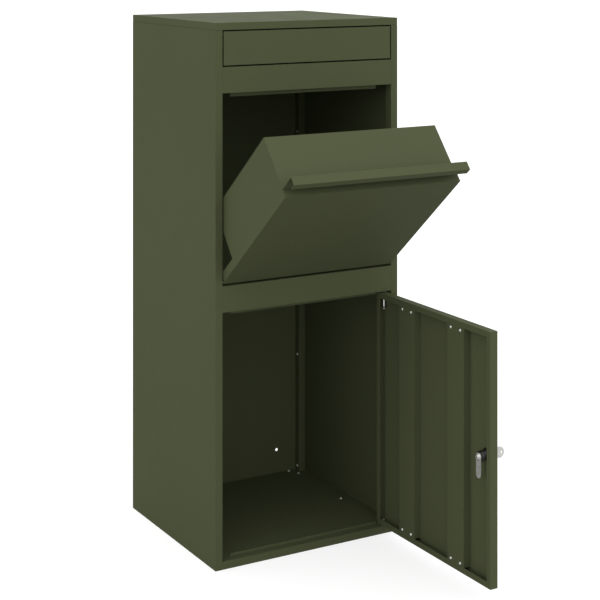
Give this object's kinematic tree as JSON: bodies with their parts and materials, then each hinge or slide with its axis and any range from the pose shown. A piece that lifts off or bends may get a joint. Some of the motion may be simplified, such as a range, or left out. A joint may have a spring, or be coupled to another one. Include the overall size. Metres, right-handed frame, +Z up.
{
  "type": "parcel drop box",
  "caption": "Upright sheet-steel parcel drop box with a letter flap, a tilting parcel hopper with recessed grip and a lockable lower door, shown open.",
  "frame": {"origin": "centre of the case's base, on the floor", "axes": "+Z up, the front with the flap, hopper and door faces -Y, +X to the right seen from the front"},
  "size_m": [0.4185, 0.7318, 1.02],
  "materials": {
    "olive_paint": "semi-matt powder coat, dark olive",
    "zinc_steel": "bright zinc plated",
    "black_oxide": "blackened steel",
    "chrome": "polished chrome plate",
    "nylon": "black nylon"
  },
  "bodies": {
    "case": {"left_side_panel": "olive_paint", "right_side_panel": "olive_paint", "top_cap": "olive_paint", "base_pan": "olive_paint", "floor_channel": "olive_paint", "back_panel": "olive_paint", "upper_fascia": "olive_paint", "middle_rail": "olive_paint", "door_hinge_bushes": "nylon", "letter_flap_bushes": "nylon", "back_panel_rivets": "zinc_steel", "floor_rivets": "zinc_steel", "hopper_hinge_rod": "zinc_steel"},
    "letter_flap": {"letter_flap": "olive_paint", "letter_flap_rod": "zinc_steel"},
    "hopper": {"hopper_front": "olive_paint", "hopper_chute": "olive_paint", "left_hopper_cheek": "olive_paint", "right_hopper_cheek": "olive_paint"},
    "door": {"door_panel": "olive_paint", "hinge_side_stiffener": "olive_paint", "lock_side_stiffener": "olive_paint", "stiffener_rivets": "zinc_steel", "door_bottom_pin": "zinc_steel", "hinge_pin_bracket": "olive_paint", "lock_barrel": "black_oxide", "lock_nut": "black_oxide"},
    "hinge_pin": {"door_top_pin": "zinc_steel"},
    "lock_core": {"lock_plug": "chrome", "lock_cam": "zinc_steel", "cam_screw": "zinc_steel", "lock_key": "zinc_steel"}
  },
  "joints": [
    {"name": "door_hinge", "type": "hinge", "parent": "case", "child": "door", "pos_m": [0.175, -0.1825, 0.2465], "axis": [0, 0, 1], "range_deg": [-90, 20]},
    {"name": "hopper_hinge", "type": "hinge", "parent": "case", "child": "hopper", "pos_m": [0, -0.1845, 0.5355], "axis": [1, 0, 0], "range_deg": [-50.5, 0]},
    {"name": "letter_flap_hinge", "type": "hinge", "parent": "case", "child": "letter_flap", "pos_m": [0, -0.1815, 0.998], "axis": [1, 0, 0], "range_deg": [0, 60]},
    {"name": "lock_turn", "type": "hinge", "parent": "door", "child": "lock_core", "pos_m": [0.17, -0.516, 0.248], "axis": [-1, 0, 0], "range_deg": [0, 90]},
    {"name": "hinge_pin_slide", "type": "slide", "parent": "door", "child": "hinge_pin", "axis": [0, 0, -1], "range_m": [0, 0.012]}
  ]
}
